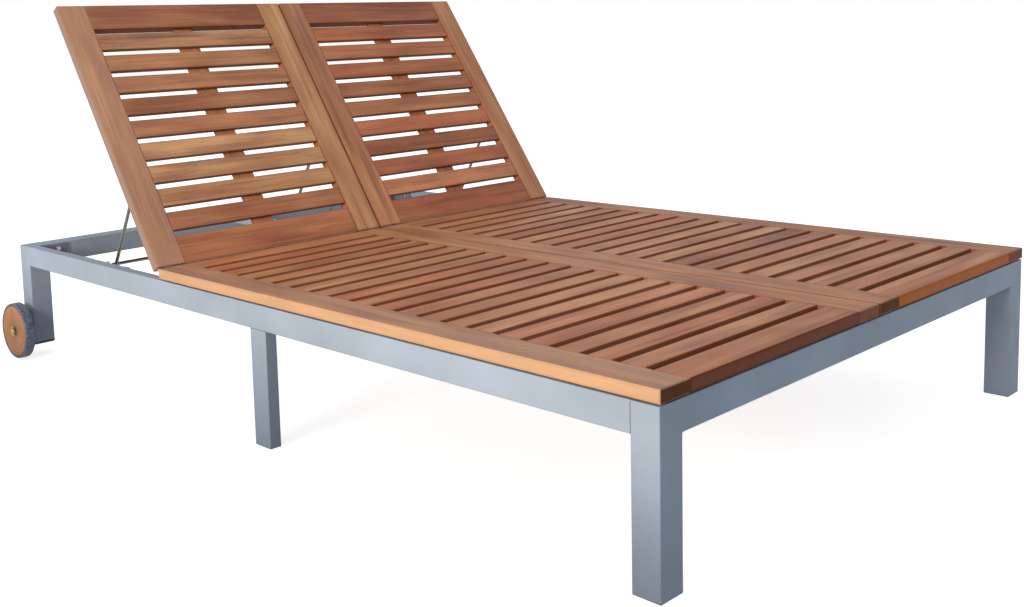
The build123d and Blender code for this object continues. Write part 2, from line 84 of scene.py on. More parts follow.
# the plank that a disc is cut from lies about 26 degrees off upright: cosine and sine
PLANK_TURN = (0.9, 0.44)
DISC_LOOK = (0.1, 0.35, 0.2)

# Stage: places and sizes in metres
FLOOR_REACH = 14.0
WINDOW_PLACE, WINDOW_TARGET = (-4.6, -0.7, 1.3), (0, -0.3, 0.35)
WINDOW_SIZE = (1.6, 1.0)
WINDOW_WATTS = 225
FLAG_X, FLAG_REACH, FLAG_LOW, FLAG_TOP = -1.6, 4, 0.01, 0.38
BRIGHT_SIDE = (-0.72, 0.35, 0.60)

# The camera fitted to the photograph: its place in metres, its turns in degrees, and its focal
# length, optical centre and picture size in pixels
CAMERA_PLACE = (-1.9584, -1.9301, 0.8125)
CAMERA_AZIMUTH, CAMERA_ELEVATION, CAMERA_ROLL = -42.495, 6.688, -1.890
FOCAL_LENGTH = 1179.67
OPTICAL_CENTRE = (400.50, 166.43)
PICTURE_SIZE = (1024, 607)
SENSOR_WIDTH = 36.0
CAMERA_REACH = 60.0


# Sizes and colours that a user may change

class LoungerBoards(bpy.types.PropertyGroup):
    arris: bpy.props.FloatProperty(
        name="Arris radius", description="Rounding of every board's edges",
        default=1.6 * MM, min=0.2 * MM, max=5 * MM, unit="LENGTH", precision=4)
    slat_width: bpy.props.FloatProperty(
        name="Slat width", description="Width of one slat",
        default=45.8 * MM, unit="LENGTH", precision=4)
    slat_gap: bpy.props.FloatProperty(
        name="Slat gap", description="Open gap between two slats",
        default=15 * MM, unit="LENGTH", precision=4)
    slat_thickness: bpy.props.FloatProperty(
        name="Slat thickness", description="Thickness of a slat",
        default=11 * MM, unit="LENGTH", precision=4)
    back_angle: bpy.props.FloatProperty(
        name="Backrest angle", description="Rise of the backrests above level",
        default=math.radians(56), subtype="ANGLE", unit="ROTATION")


class LoungerColours(bpy.types.PropertyGroup):
    gold_pale: bpy.props.StringProperty(
        name="Golden wood, pale", description="Lightest tone of golden boards, sRGB hex",
        default="E0AC78")
    gold_deep: bpy.props.StringProperty(
        name="Golden wood, deep", description="Deepest tone of golden boards, sRGB hex",
        default="925C36")
    red_pale: bpy.props.StringProperty(
        name="Reddish wood, pale", description="Lightest tone of reddish boards, sRGB hex",
        default="CE784C")
    red_deep: bpy.props.StringProperty(
        name="Reddish wood, deep", description="Deepest tone of reddish boards, sRGB hex",
        default="8A4423")
    grain_line: bpy.props.StringProperty(
        name="Grain lines", description="Late wood and pores, sRGB hex", default="522A1A")
    smoke: bpy.props.StringProperty(
        name="Smoky patches", description="Grey-purple mineral streaks, sRGB hex",
        default="7C5A52")
    coat: bpy.props.StringProperty(
        name="Powder coat", description="Coat of the tube frame, sRGB hex", default="8A95A3")
    rubber: bpy.props.StringProperty(
        name="Tyre rubber", description="Blue-grey rubber of the tyres, sRGB hex",
        default="5A6474")


# Small helpers

def hex_channels(code):
    """The red, green and blue of an sRGB hex code, each from 0 to 255."""
    return [int(code[index:index + 2], 16) for index in (0, 2, 4)]


def linear(code):
    """An sRGB hex code as linear red, green, blue and alpha."""
    channels = [value / 255 for value in hex_channels(code)]
    return tuple(value / 12.92 if value <= 0.04045 else ((value + 0.055) / 1.055) ** 2.4
                 for value in channels) + (1.0,)


def shade(code, factor):
    """An sRGB hex code made darker or lighter by a factor."""
    return "".join(f"{min(int(value * factor), 255):02X}" for value in hex_channels(code))


def add_node(tree, kind, links=None, **settings):
    """Adds a node with its settings; links maps an input to a value or an output socket."""
    node = tree.nodes.new(kind)
    for name, value in settings.items():
        setattr(node, name, value)
    for name, value in (links or {}).items():
        if isinstance(value, bpy.types.NodeSocket):
            tree.links.new(value, node.inputs[name])
        else:
            node.inputs[name].default_value = value
    return node


def set_ramp(node, stops):
    """Gives a colour ramp its stops, as (position, hex code) pairs."""
    elements = node.color_ramp.elements
    while len(elements) > 2:
        elements.remove(elements[-1])
    while len(elements) < len(stops):
        elements.new(0.5)
    for element, (position, code) in zip(elements, stops):
        element.position = position
        element.color = linear(code)


def new_material(name):
    """A material with an empty node tree."""
    material = bpy.data.materials.new(name)
    material.use_nodes = True
    material.node_tree.nodes.clear()
    return material, material.node_tree


def new_object(name, data):
    """Puts an object with this mesh, light or camera in the scene."""
    item = bpy.data.objects.new(name, data)
    bpy.context.scene.collection.objects.link(item)
    return item


def mesh_object(name, mesh):
    """Makes an object from a bmesh, with its faces turned outward."""
    bmesh.ops.recalc_face_normals(mesh, faces=mesh.faces)
    data = bpy.data.meshes.new(name)
    mesh.to_mesh(data)
    mesh.free()
    return new_object(name, data)


def sheet_object(name, corners):
    """Makes an object of one four-cornered face."""
    data = bpy.data.meshes.new(name)
    data.from_pydata(corners, [], [(0, 1, 2, 3)])
    return new_object(name, data)


# Materials

PLANED = "oiled hardwood"
GREYED = "oiled hardwood greyed"
# the long edges in the gaps between boards are darkened: painted shade
SHADED_SAWN_EDGE = "oiled hardwood shaded sawn edge"
FRESH_EDGE = "oiled hardwood fresh edge"
DULL_EDGE = "oiled hardwood dull edge"
DARK_EDGE = "oiled hardwood dark edge"
ORANGE_EDGE = "oiled hardwood orange edge"
END_GRAIN = "oiled hardwood end grain"
LIT_PALE_END = "oiled hardwood lit pale end grain"
DARK_END = "oiled hardwood dark end grain"
TURNED = "turned hardwood"
COATED_TUBE = "powder-coated steel"
SHADED_COATED_PLATE = "powder-coated shaded plate"
RUBBER = "moulded rubber"
PLASTIC = "moulded black plastic"
DRAWN_STEEL = "bright drawn steel"
ZINC = "zinc-plated steel"
BRASS = "brass-plated steel"

# How each of the wood's surfaces differs from a planed and oiled face
HARDWOODS = {
    # warm brown to reddish, with a soft sheen
    PLANED: {},
    # weathered a little, so the warm colour turns to grey-brown
    GREYED: {"tint": "A58E7C", "tint_share": 0.28},
    # the edges that face the gaps: dark and reddish as painted shade, and rough from the saw, so
    # nearly without sheen
    SHADED_SAWN_EDGE: {"tint": "783A1C", "tint_share": 0.65, "roughness": 0.7, "gloss": 0.2},
    # newly planed along the outside: pale and yellowish
    FRESH_EDGE: {"tint": "B89570", "tint_share": 0.62},
    # handled and dusty: a flat grey-brown
    DULL_EDGE: {"tint": "7A665B", "tint_share": 0.85},
    # soaked with oil: deep brown without sheen
    DARK_EDGE: {"tint": "6A2F12", "tint_share": 0.9, "gloss": 0.1},
    # oiled sapwood: strong orange without sheen
    ORANGE_EDGE: {"tint": "BC6218", "tint_share": 0.9, "gloss": 0.1},
    # cut across: short specks in place of streaks, brown and dull
    END_GRAIN: {"tint": "844F35", "tint_share": 0.8, "roughness": 0.7, "gloss": 0.25,
                "end_grain": True},
    # cut across: made pale as painted light, so that the backrest's shaded lower ends show light;
    # dull
    LIT_PALE_END: {"tint": "DCA886", "tint_share": 0.85, "roughness": 0.7, "gloss": 0.1,
               "end_grain": True},
    # cut across and soaked with oil: nearly black-brown; on the wheel discs' eased rims it is
    # painted shade
    DARK_END: {"tint": "5B351A", "tint_share": 0.9, "roughness": 0.7, "gloss": 0.2,
               "end_grain": True},
    # turned on a lathe: a plain mid brown, rather matt
    TURNED: {"tint": "8E6342", "tint_share": 0.4, "roughness": 0.6, "gloss": 0.3},
}
# the darker colour along the arrises: painted shade, as in the joints between boards
ARRIS_SHADE = "7E5846"
# colour mixed into the coat near the ground: painted shade
GROUND_SHADE = "5C636E"
# how far the pattern moves the roughness up and down in all
ROUGHNESS_SPREAD = 0.2


def oiled_hardwood(name, end_grain=False, roughness=0.52, tint=None, tint_share=0.0, gloss=0.5):
    """Oiled tropical hardwood, planed: soft long streaks and patches, each board its own tone."""
    colours = bpy.context.scene.lounger_colours
    material, tree = new_material(name)
    grain = add_node(tree, "ShaderNodeAttribute", attribute_name="grain").outputs["Vector"]
    look = add_node(tree, "ShaderNodeAttribute", attribute_name="look").outputs["Vector"]
    rim = add_node(tree, "ShaderNodeAttribute", attribute_name="rim").outputs["Fac"]
    board = add_node(tree, "ShaderNodeSeparateXYZ", {"Vector": look}).outputs
    lightness, redness, smokiness = board["X"], board["Y"], board["Z"]

    def along_grain(length, width, detail, distortion):
        """Noise drawn out along the board; one patch is length by width millimetres."""
        scale = (1 / (length * MM), 1 / (width * MM), 1 / (width * MM))
        place = add_node(tree, "ShaderNodeVectorMath", {0: grain, 1: scale}, operation="MULTIPLY")
        return add_node(tree, "ShaderNodeTexNoise",
                        {"Vector": place.outputs[0], "Scale": 1.0, "Detail": detail,
                         "Roughness": 0.55, "Distortion": distortion}).outputs[0]

    # across an end the layers are arcs a few millimetres apart, not streaks
    stretch = 0.12 if end_grain else 1.0
    patches = along_grain(220 * stretch, 60, 1.0, 0.4)
    figure = along_grain(340 * stretch, 22, 2.0, 0.4)
    streaks = along_grain(300 * stretch, 6.5, 4.0, 0.3)
    # pores are 0.3 mm wide in the real wood, drawn 1.5 mm wide so that they show in the render
    pores = along_grain(50 * stretch, 1.5, 2.0, 0.0)
    lines = along_grain(550 * stretch, 7, 3.0, 0.5)
    clouds = along_grain(280, 34, 2.0, 0.6)

    # the patterns shift the board's own lightness; their mean is taken off again, a little
    # less than all of it, so that a board of lightness 0 is near the middle of the ramps
    level = lightness
    for pattern, share in ((patches, 0.85), (figure, 0.6), (streaks, 0.6)):
        level = add_node(tree, "ShaderNodeMath", {0: pattern, 1: share, 2: level},
                         operation="MULTIPLY_ADD").outputs[0]
    level = add_node(tree, "ShaderNodeMath", {0: level, 1: -0.565}, operation="ADD").outputs[0]
    golden = add_node(tree, "ShaderNodeValToRGB", {"Fac": level})
    set_ramp(golden, ((0.05, colours.gold_deep), (0.95, colours.gold_pale)))
    reddish = add_node(tree, "ShaderNodeValToRGB", {"Fac": level})
    set_ramp(reddish, ((0.05, colours.red_deep), (0.95, colours.red_pale)))

    # the hue wanders a little within a board too
    wander = add_node(tree, "ShaderNodeMapRange", {"Value": clouds, "From Min": 0.3,
                                                   "From Max": 0.7, "To Min": -0.2, "To Max": 0.2})
    red_share = add_node(tree, "ShaderNodeMath", {0: redness, 1: wander.outputs[0]},
                         operation="ADD", use_clamp=True)
    body = add_node(tree, "ShaderNodeMix", {"Factor": red_share.outputs[0],
                                            "A": golden.outputs[0],
                                            "B": reddish.outputs[0]}, data_type="RGBA")
    cloud_mask = add_node(tree, "ShaderNodeMapRange", {"Value": clouds, "From Min": 0.50,
                                                       "From Max": 0.72, "To Max": 0.75})
    smoky_share = add_node(tree, "ShaderNodeMath", {0: cloud_mask.outputs[0], 1: smokiness},
                           operation="MULTIPLY")
    smoky = add_node(tree, "ShaderNodeMix", {"Factor": smoky_share.outputs[0],
                                             "A": body.outputs["Result"],
                                             "B": linear(colours.smoke)}, data_type="RGBA")
    # late wood and pores: the darker of the two shows
    line_mask = add_node(tree, "ShaderNodeMapRange", {"Value": lines, "From Min": 0.57,
                                                      "From Max": 0.68, "To Max": 0.4})
    pore_mask = add_node(tree, "ShaderNodeMapRange", {"Value": pores, "From Min": 0.44,
                                                      "From Max": 0.28, "To Max": 0.38})
    dark_share = add_node(tree, "ShaderNodeMath",
                          {0: line_mask.outputs[0], 1: pore_mask.outputs[0]}, operation="MAXIMUM")
    lined = add_node(tree, "ShaderNodeMix", {"Factor": dark_share.outputs[0],
                                             "A": smoky.outputs["Result"],
                                             "B": linear(colours.grain_line)}, data_type="RGBA")
    # the arrises are darkened as painted shade, as in the joints between boards, and their sheen
    # is dulled
    arris_shade_share = add_node(tree, "ShaderNodeMath", {0: rim, 1: 0.5}, operation="MULTIPLY")
    colour = add_node(tree, "ShaderNodeMix", {"Factor": arris_shade_share.outputs[0],
                                              "A": lined.outputs["Result"],
                                              "B": linear(ARRIS_SHADE)}, data_type="RGBA")
    sheen = add_node(tree, "ShaderNodeMath", {0: rim, 1: -0.8 * gloss, 2: gloss},
                     operation="MULTIPLY_ADD")
    if tint:
        colour = add_node(tree, "ShaderNodeMix", {"Factor": tint_share,
                                                  "A": colour.outputs["Result"],
                                                  "B": linear(tint)}, data_type="RGBA")

    rough = add_node(tree, "ShaderNodeMath",
                     {0: streaks, 1: ROUGHNESS_SPREAD, 2: roughness - ROUGHNESS_SPREAD / 2},
                     operation="MULTIPLY_ADD")
    # the pores lie deeper than the streaks
    relief = add_node(tree, "ShaderNodeMath", {0: pore_mask.outputs[0], 1: -1.2, 2: streaks},
                      operation="MULTIPLY_ADD")
    bump = add_node(tree, "ShaderNodeBump",
                    {"Height": relief.outputs[0], "Strength": 0.25, "Distance": 0.3 * MM})
    shader = add_node(tree, "ShaderNodeBsdfPrincipled",
                      {"Base Color": colour.outputs["Result"], "Roughness": rough.outputs[0],
                       "Normal": bump.outputs[0], "IOR": 1.5,
                       "Specular IOR Level": sheen.outputs[0]})
    add_node(tree, "ShaderNodeOutputMaterial", {"Surface": shader.outputs[0]})
    return material


def powder_coat(name, code, roughness):
    """Powder-coated steel: an even satin skin with fine orange peel and faint cloudiness."""
    material, tree = new_material(name)
    place = add_node(tree, "ShaderNodeTexCoord").outputs["Object"]
    # orange peel of about 2 mm, drawn at 5 mm so that it shows in the render
    peel = add_node(tree, "ShaderNodeTexNoise",
                    {"Vector": place, "Scale": 1 / (5 * MM), "Detail": 3.0})
    # the coat's thickness varies over about 200 mm
    cloud = add_node(tree, "ShaderNodeTexNoise",
                     {"Vector": place, "Scale": 1 / (200 * MM), "Detail": 4.0})
    tint = add_node(tree, "ShaderNodeValToRGB", {"Fac": cloud.outputs[0]})
    set_ramp(tint, ((0.3, shade(code, 0.93)), (0.7, shade(code, 1.05))))
    # the coat is a little darker towards the ground, up to about 0.2 m: painted shade
    height = add_node(tree, "ShaderNodeSeparateXYZ", {"Vector": place}).outputs["Z"]
    ground_shade_share = add_node(tree, "ShaderNodeMapRange", {"Value": height, "From Min": 0.0,
                                                 "From Max": 0.21, "To Min": 0.35, "To Max": 0.0})
    ground_shaded = add_node(tree, "ShaderNodeMix", {"Factor": ground_shade_share.outputs[0], "A": tint.outputs[0],
                                              "B": linear(GROUND_SHADE)}, data_type="RGBA")
    # scuffs and settled dust, 28 to the metre, dull the sheen in places
    scuff = add_node(tree, "ShaderNodeTexNoise",
                     {"Vector": place, "Scale": 28.0, "Detail": 5.0, "Roughness": 0.7})
    rough = add_node(tree, "ShaderNodeMath", {0: scuff.outputs[0], 1: 0.25, 2: roughness - 0.12},
                     operation="MULTIPLY_ADD")
    bump = add_node(tree, "ShaderNodeBump",
                    {"Height": peel.outputs[0], "Strength": 0.12, "Distance": 0.2 * MM})
    shader = add_node(tree, "ShaderNodeBsdfPrincipled",
                      {"Base Color": ground_shaded.outputs["Result"], "Roughness": rough.outputs[0],
                       "Normal": bump.outputs[0], "IOR": 1.5, "Specular IOR Level": 0.4})
    add_node(tree, "ShaderNodeOutputMaterial", {"Surface": shader.outputs[0]})
    return material


def plain_metal(name, code, roughness, spacing):
    """Bare or plated metal: full metal with fine drawing marks that break up the shine."""
    material, tree = new_material(name)
    place = add_node(tree, "ShaderNodeTexCoord").outputs["Object"]
    # marks of well under 1 mm, drawn at a few millimetres so that they show in the render
    marks = add_node(tree, "ShaderNodeTexNoise",
                     {"Vector": place, "Scale": 1 / spacing, "Detail": 4.0, "Roughness": 0.6})
    tint = add_node(tree, "ShaderNodeValToRGB", {"Fac": marks.outputs[0]})
    set_ramp(tint, ((0.35, shade(code, 0.8)), (0.65, code)))
    rough = add_node(tree, "ShaderNodeMath", {0: marks.outputs[0], 1: ROUGHNESS_SPREAD,
                                              2: roughness - ROUGHNESS_SPREAD / 2},
                     operation="MULTIPLY_ADD")
    bump = add_node(tree, "ShaderNodeBump",
                    {"Height": marks.outputs[0], "Strength": 0.1, "Distance": 0.1 * MM})
    shader = add_node(tree, "ShaderNodeBsdfPrincipled",
                      {"Base Color": tint.outputs[0], "Roughness": rough.outputs[0],
                       "Metallic": 1.0, "Normal": bump.outputs[0]})
    add_node(tree, "ShaderNodeOutputMaterial", {"Surface": shader.outputs[0]})
    return material


def moulded(name, code, roughness, mottling, blotch):
    """Moulded rubber or plastic: matt, slightly mottled skin with a fine mould grain."""
    material, tree = new_material(name)
    place = add_node(tree, "ShaderNodeTexCoord").outputs["Object"]
    # mould grain of about 0.8 mm, drawn at 2 mm so that it shows in the render
    grit = add_node(tree, "ShaderNodeTexNoise",
                    {"Vector": place, "Scale": 1 / (2 * MM), "Detail": 2.0})
    dust = add_node(tree, "ShaderNodeTexNoise",
                    {"Vector": place, "Scale": 1 / blotch, "Detail": 4.0})
    tint = add_node(tree, "ShaderNodeValToRGB", {"Fac": dust.outputs[0]})
    set_ramp(tint, ((0.3, shade(code, 1 - mottling)), (0.72, shade(code, 1 + mottling))))
    rough = add_node(tree, "ShaderNodeMath", {0: dust.outputs[0], 1: ROUGHNESS_SPREAD,
                                              2: roughness - ROUGHNESS_SPREAD / 2},
                     operation="MULTIPLY_ADD")
    bump = add_node(tree, "ShaderNodeBump",
                    {"Height": grit.outputs[0], "Strength": 0.25, "Distance": 0.2 * MM})
    shader = add_node(tree, "ShaderNodeBsdfPrincipled",
                      {"Base Color": tint.outputs[0], "Roughness": rough.outputs[0],
                       "Normal": bump.outputs[0], "IOR": 1.5})
    add_node(tree, "ShaderNodeOutputMaterial", {"Surface": shader.outputs[0]})
    return material


MATERIALS = {}


def material_named(name):
    """Makes each material once, the first time that a piece asks for it."""
    colours = bpy.context.scene.lounger_colours
    others = {
        # satin blue-grey
        COATED_TUBE: (powder_coat, colours.coat, 0.5),
        # darker as painted shade, because the plates lie in the corners, and duller
        SHADED_COATED_PLATE: (powder_coat, "6A6D80", 0.6),
        # matt blue-grey with clear specks
        RUBBER: (moulded, colours.rubber, 0.6, 0.3, 6 * MM),
        # matt black with faint blotches
        PLASTIC: (moulded, "1E1F22", 0.5, 0.15, 30 * MM),
        # warm grey with sharp highlights along the rod
        DRAWN_STEEL: (plain_metal, "7C7A73", 0.28, 4 * MM),
        # pale grey with softer highlights
        ZINC: (plain_metal, "B4B6B8", 0.35, 3 * MM),
        # dull yellow
        BRASS: (plain_metal, "B39C6C", 0.35, 3 * MM),
    }
    if name not in MATERIALS:
        if name in HARDWOODS:
            MATERIALS[name] = oiled_hardwood(name, **HARDWOODS[name])
        else:
            maker, *settings = others[name]
            MATERIALS[name] = maker(name, *settings)
    return MATERIALS[name]


# Board and wheel meshes

def section(width, depth, radius, inset):
    """A rounded rectangle as (across, depth, rim) points, with a flat point beside each corner."""
    points = []
    for corner, (sign_a, sign_d) in enumerate(((1, 1), (-1, 1), (-1, -1), (1, -1))):
        centre_a = sign_a * (width / 2 - radius)
        centre_d = sign_d * (depth / 2 - radius)
        start = corner * math.pi / 2
        before = (sign_a * width / 2, centre_d - sign_d * inset)
        after = (centre_a - sign_a * inset, sign_d * depth / 2)
        if corner % 2:
            before, after = after, before
        points.append((*before, 0.0))
        for step in range(ARRIS_STEPS + 1):
            angle = start + step / ARRIS_STEPS * math.pi / 2
            points.append((centre_a + radius * math.cos(angle),
                           centre_d + radius * math.sin(angle), 1.0))
        points.append((*after, 0.0))
    return points


def add_board(mesh, layers, low, high, along, chance, turn=None, look=None, sides=(FACE, FACE)):
    """Adds one board with rounded edges; its grain runs along GRAIN_X or GRAIN_Y.

    look is the board's lightness, redness and smokiness, and sides are the material
    indices of its two long edges, the lower one first."""
    length = high[along] - low[along]
    other = 1 - along
    width = high[other] - low[other]
    depth = high[2] - low[2]
    middle = [(low[index] + high[index]) / 2 for index in range(3)]
    # a thin board is rounded by no more than a third of its thickness
    radius = min(bpy.context.scene.lounger_boards.arris, depth / 3)
    inset = ARRIS_FADE * radius
    offset = [chance.uniform(0, WOOD_REACH) for _ in range(3)]
    if look is None:
        look = (chance.uniform(-0.2, 0.14), chance.uniform(0.35, 0.85), chance.random() ** 2)
    # each end: how far in a ring lies and how much it shrinks, over the rounding and the fade
    rounding = [(0.0, radius), (0.3 * radius, 0.3 * radius), (radius, 0.0)]
    stations = rounding + [(radius + inset, 0.0)]
    stations += [(length - place, shrink) for place, shrink in reversed(stations)]
    rings = []
    for index, (place, shrink) in enumerate(stations):
        from_end = min(index, len(stations) - 1 - index)
        end_rim = 1.0 if from_end < len(rounding) else 0.0
        ring = []
        for across, deep, rim in section(width - 2 * shrink, depth - 2 * shrink,
                                         max(radius - shrink, radius / 4), inset - shrink):
            position = [0.0, 0.0, middle[2] + deep]
            position[along] = low[along] + place
            position[other] = middle[other] + across
            point = Vector(position)
            vertex = mesh.verts.new(turn @ point if turn else point)
            vertex[layers["grain"]] = Vector((position[along] + offset[0],
                                              position[other] + offset[1],
                                              position[2] + offset[2]))
            vertex[layers["look"]] = Vector(look)
            # the painted shade and the dulled sheen along an arris are uneven
            vertex[layers["rim"]] = max(rim, end_rim) * chance.uniform(0.5, 1.0)
            ring.append(vertex)
        rings.append(ring)
    outline = section(width, depth, radius, inset)
    nearly_out = width / 2 - 0.6 * radius
    for first, second in zip(rings, rings[1:]):
        for index in range(len(outline)):
            after = (index + 1) % len(outline)
            face = mesh.faces.new((first[index], first[after], second[after], second[index]))
            face.smooth = True
            if max(outline[index][0], outline[after][0]) < -nearly_out:
                face.material_index = sides[0]
            if min(outline[index][0], outline[after][0]) > nearly_out:
                face.material_index = sides[1]
    for ring, order in ((rings[0], -1), (rings[-1], 1)):
        mesh.faces.new(ring[::order]).material_index = END


def add_slats(mesh, layers, low, high, span, top, chance, turn=None, draw_look=None):
    """Adds a field of slats between two stiles, each slat with its own grain and look."""
    boards = bpy.context.scene.lounger_boards
    pitch = boards.slat_width + boards.slat_gap
    for index in range(round((high[1] - low[1] + boards.slat_gap) / pitch)):
        start = low[1] + index * pitch
        add_board(mesh, layers, (span[0], start, top - boards.slat_thickness),
                  (span[1], start + boards.slat_width, top), GRAIN_X, chance, turn,
                  draw_look() if draw_look else None, (EDGE, EDGE))


def board_object(name, body, node, materials, fill):
    """Makes an object from boards, puts it in place of a CAD node and gives its materials."""
    mesh = bmesh.new()
    layers = {"grain": mesh.verts.layers.float_vector.new("grain"),
              "look": mesh.verts.layers.float_vector.new("look"),
              "rim": mesh.verts.layers.float.new("rim")}
    fill(mesh, layers)
    piece = mesh_object(name, mesh)
    for material in materials:
        piece.data.materials.append(material_named(material))
    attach(piece, body)
    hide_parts(node)


def lathe(name, half_profile, width, centre, side, steps=96):
    """Turns a closed profile round the X axis.

    half_profile holds (distance along the axle, radius) pairs from the inner face, and
    the outer face mirrors it."""
    profile = half_profile + [(width - along, radius) for along, radius in reversed(half_profile)]
    profile.append(profile[0])
    mesh = bmesh.new()
    layer_grain = mesh.verts.layers.float_vector.new("grain")
    layer_look = mesh.verts.layers.float_vector.new("look")
    mesh.verts.layers.float.new("rim")
    cosine, sine = PLANK_TURN
    rings = []
    for along, radius in profile:
        ring = []
        for step in range(steps):
            angle = step / steps * 2 * math.pi
            offset = Vector((side * along, radius * math.cos(angle), radius * math.sin(angle)))
            vertex = mesh.verts.new(centre + offset)
            # the grain runs straight across the disc, as in the plank it is cut from
            vertex[layer_grain] = Vector((cosine * offset.z + sine * offset.y,
                                          cosine * offset.y - sine * offset.z,
                                          offset.x)) + centre
            vertex[layer_look] = Vector(DISC_LOOK)
            ring.append(vertex)
        rings.append(ring)
    for first, second in zip(rings, rings[1:]):
        for index in range(steps):
            after = (index + 1) % steps
            mesh.faces.new((first[index], first[after],
                            second[after], second[index])).smooth = True
    return mesh_object(name, mesh)


def finish_node(node, material):
    """Gives a CAD node that keeps its shape a better material."""
    data = frame["nodes"][node].data
    data.materials.clear()
    data.materials.append(material_named(material))


# Operators: one for each group of pieces

class LOUNGER_OT_seats(bpy.types.Operator):
    """Builds the boards, slats and battens of both seats"""
    bl_idname = "lounger.seats"
    bl_label = "Seat boards"

    def execute(self, context):
        for name, side in SIDES:
            chance = random.Random(SEAT_SEED + side)
            outer_low, outer_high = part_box(f"{name}_seat_outer_stile")
            inner_low, inner_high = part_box(f"{name}_seat_inner_stile")
            if side < 0:
                span = (outer_high[0], inner_low[0])
                outer, inner = (GREYED, DARK_END), (PLANED, END_GRAIN)
                outside = (EDGE, OTHER_EDGE)
                foot_slot, foot_edge = "dark_end_wood", DARK_EDGE
            else:
                span = (inner_high[0], outer_low[0])
                outer, inner = (PLANED, END_GRAIN), (PLANED, DARK_END)
                outside = (OTHER_EDGE, EDGE)
                foot_slot, foot_edge = "orange_end_wood", ORANGE_EDGE
            plain = (PLANED, END_GRAIN)
            # part, slot, materials, grain, long edges, look
            pieces = (
                ("seat_outer_stile", "stile_hardwood", outer + (FRESH_EDGE, SHADED_SAWN_EDGE), GRAIN_Y,
                 outside, (-0.08, 0.5, 1.0)),
                ("seat_inner_stile", "stile_hardwood", inner + (SHADED_SAWN_EDGE,), GRAIN_Y,
                 (EDGE, EDGE), (0.0, 0.45, 0.6)),
                ("seat_batten", "oiled_hardwood", plain, GRAIN_Y,
                 (FACE, FACE), (-0.1, 0.6, 0.3)),
                ("foot_board", foot_slot, plain + (foot_edge, SHADED_SAWN_EDGE), GRAIN_X,
                 (EDGE, OTHER_EDGE), None),
                ("head_board", "oiled_hardwood", plain + (SHADED_SAWN_EDGE,), GRAIN_X,
                 (EDGE, EDGE), None),
            )
            for part, slot, materials, along, sides, look in pieces:
                node = f"{name}_{part}"
                low, high = (list(corner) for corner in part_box(node))
                if along == GRAIN_X:
                    low[0], high[0] = span
                board_object(f"{node}_board", "frame", node, materials,
                             lambda mesh, layers: add_board(mesh, layers, low, high, along,
                                                            chance, look=look, sides=sides))
            node = f"{name}_seat_slats"
            low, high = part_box(node)
            board_object(f"{node}_boards", "frame", node, plain + (SHADED_SAWN_EDGE,),
                         lambda mesh, layers: add_slats(mesh, layers, low, high, span,
                                                        outer_high[2], chance))
        return {"FINISHED"}


class LOUNGER_OT_backrests(bpy.types.Operator):
    """Builds the boards, slats and battens of both backrests, raised about the hinge pins"""
    bl_idname = "lounger.backrests"
    bl_label = "Backrest boards"

    def execute(self, context):
        angle = context.scene.lounger_boards.back_angle
        lift = (Matrix.Translation(HINGE) @ Matrix.Rotation(angle, 4, "X")
                @ Matrix.Translation(-HINGE))
        lower = lift.inverted()

        def flat_limits(node):
            """The node's limits along the flat backrest, from its raised mesh."""
            points = [lower @ vertex.co for vertex in frame["nodes"][node].data.vertices]
            low = Vector([min(point[index] for point in points) for index in range(3)])
            high = Vector([max(point[index] for point in points) for index in range(3)])
            return low, high

        for name, side in SIDES:
            chance = random.Random(BACK_SEED + side)
            body = f"{name}_backrest"
            outer = flat_limits(f"{name}_back_outer_stile")
            inner = flat_limits(f"{name}_back_inner_stile")
            if side < 0:
                span = (outer[1][0], inner[0][0])
                outside, outer_face = (EDGE, OTHER_EDGE), GREYED
                looks = ((0.05, 0.45, 0.2), (0.05, 0.3, 0.3), (0.0, 0.6, 0.2),
                         (-0.27, 0.65, 0.5), (-0.08, 0.75, 0.1))
                redness, smoke = 0.4, 1.0
            else:
                span = (inner[1][0], outer[0][0])
                outside, outer_face = (OTHER_EDGE, EDGE), PLANED
                looks = ((0.12, 0.5, 0.0), (0.04, 0.5, 0.5), (0.0, 0.6, 0.2),
                         (-0.27, 0.85, 0.5), (-0.08, 0.95, 0.1))
                redness, smoke = 0.95, 0.35
            # part, slot, face, grain, long edges
            pieces = (
                ("back_outer_stile", "stile_hardwood", outer_face, GRAIN_Y, outside),
                ("back_inner_stile", "stile_hardwood", PLANED, GRAIN_Y, (OTHER_EDGE, OTHER_EDGE)),
                ("back_batten", "oiled_hardwood", PLANED, GRAIN_Y, (OTHER_EDGE, OTHER_EDGE)),
                ("top_board", "oiled_hardwood", PLANED, GRAIN_X, (OTHER_EDGE, FACE)),
                # the bottom board's edge at the hinge takes the pale end grain: painted light on a
                # shaded face
                ("bottom_board", "oiled_hardwood", PLANED, GRAIN_X, (END, OTHER_EDGE)),
            )
            for (part, slot, face, along, sides), look in zip(pieces, looks):
                node = f"{name}_{part}"
                low, high = flat_limits(node)
                if along == GRAIN_X:
                    low[0], high[0] = span
                board_object(f"{node}_board", body, node,
                             (face, LIT_PALE_END, DULL_EDGE, SHADED_SAWN_EDGE),
                             lambda mesh, layers: add_board(mesh, layers, low, high, along,
                                                            chance, lift, look, sides))
            node = f"{name}_back_slats"
            low, high = flat_limits(node)
            board_object(f"{node}_boards", body, node,
                         (PLANED, LIT_PALE_END, SHADED_SAWN_EDGE),
                         lambda mesh, layers: add_slats(
                             mesh, layers, low, high, span, outer[1][2], chance, lift,
                             lambda: (chance.uniform(-0.28, 0.18),
                                      redness + chance.uniform(-0.35, 0.2),
                                      chance.random() * smoke)))
        return {"FINISHED"}


